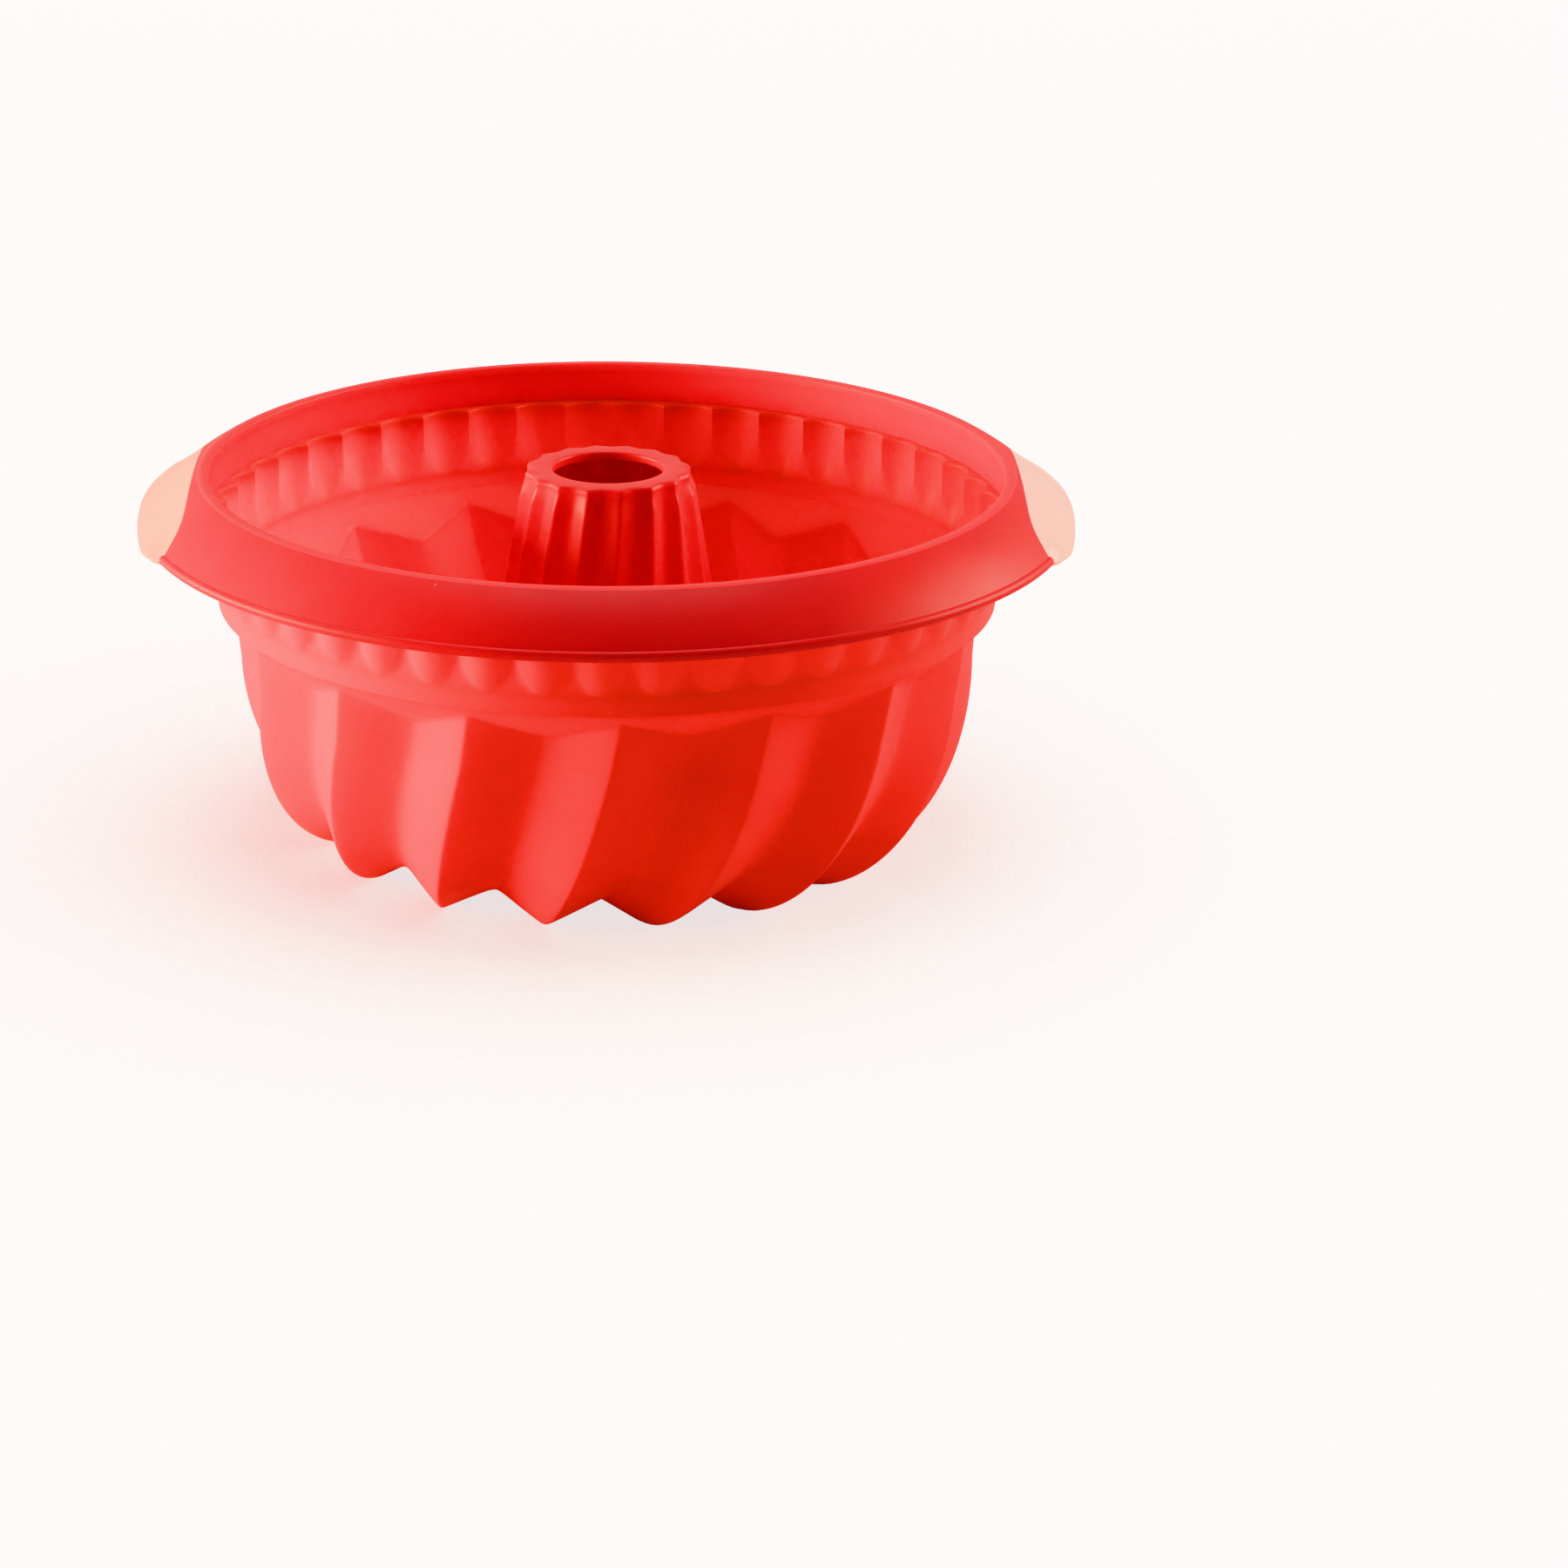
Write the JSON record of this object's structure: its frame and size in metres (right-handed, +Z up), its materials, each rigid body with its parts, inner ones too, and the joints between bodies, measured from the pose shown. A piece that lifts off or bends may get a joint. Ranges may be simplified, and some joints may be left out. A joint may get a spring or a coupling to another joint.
{
  "type": "bundt pan",
  "caption": "Deep round ring-cake mould in red silicone with swirled lobes, a scalloped band, a fluted centre tube, a flared skirt and two side grips.",
  "frame": {"origin": "middle of the resting plane, under the axis of the centre tube", "axes": "+Z up along the axis of the tube and towards the open rim, +X towards the right grip, -Y the front"},
  "size_m": [0.2816, 0.2796, 0.1165],
  "materials": {
    "silicone_skirt": "satin",
    "silicone_rim": "satin",
    "silicone_grip": "gloss",
    "silicone_wall": "satin",
    "silicone_lobes": "satin",
    "silicone_tube": "satin"
  },
  "bodies": {
    "root": {"rim_edge": "silicone_rim", "inner_rim_wall": "silicone_rim", "skirt": "silicone_skirt", "skirt_bead": "silicone_rim", "left_grip": "silicone_grip", "right_grip": "silicone_grip", "scallop_shelf": "silicone_wall", "scalloped_band": "silicone_wall", "smooth_band": "silicone_wall", "ledge_ring": "silicone_wall", "lobed_wall": "silicone_lobes", "lobed_floor": "silicone_lobes", "centre_tube": "silicone_tube", "tube_collar": "silicone_tube"}
  },
  "joints": []
}
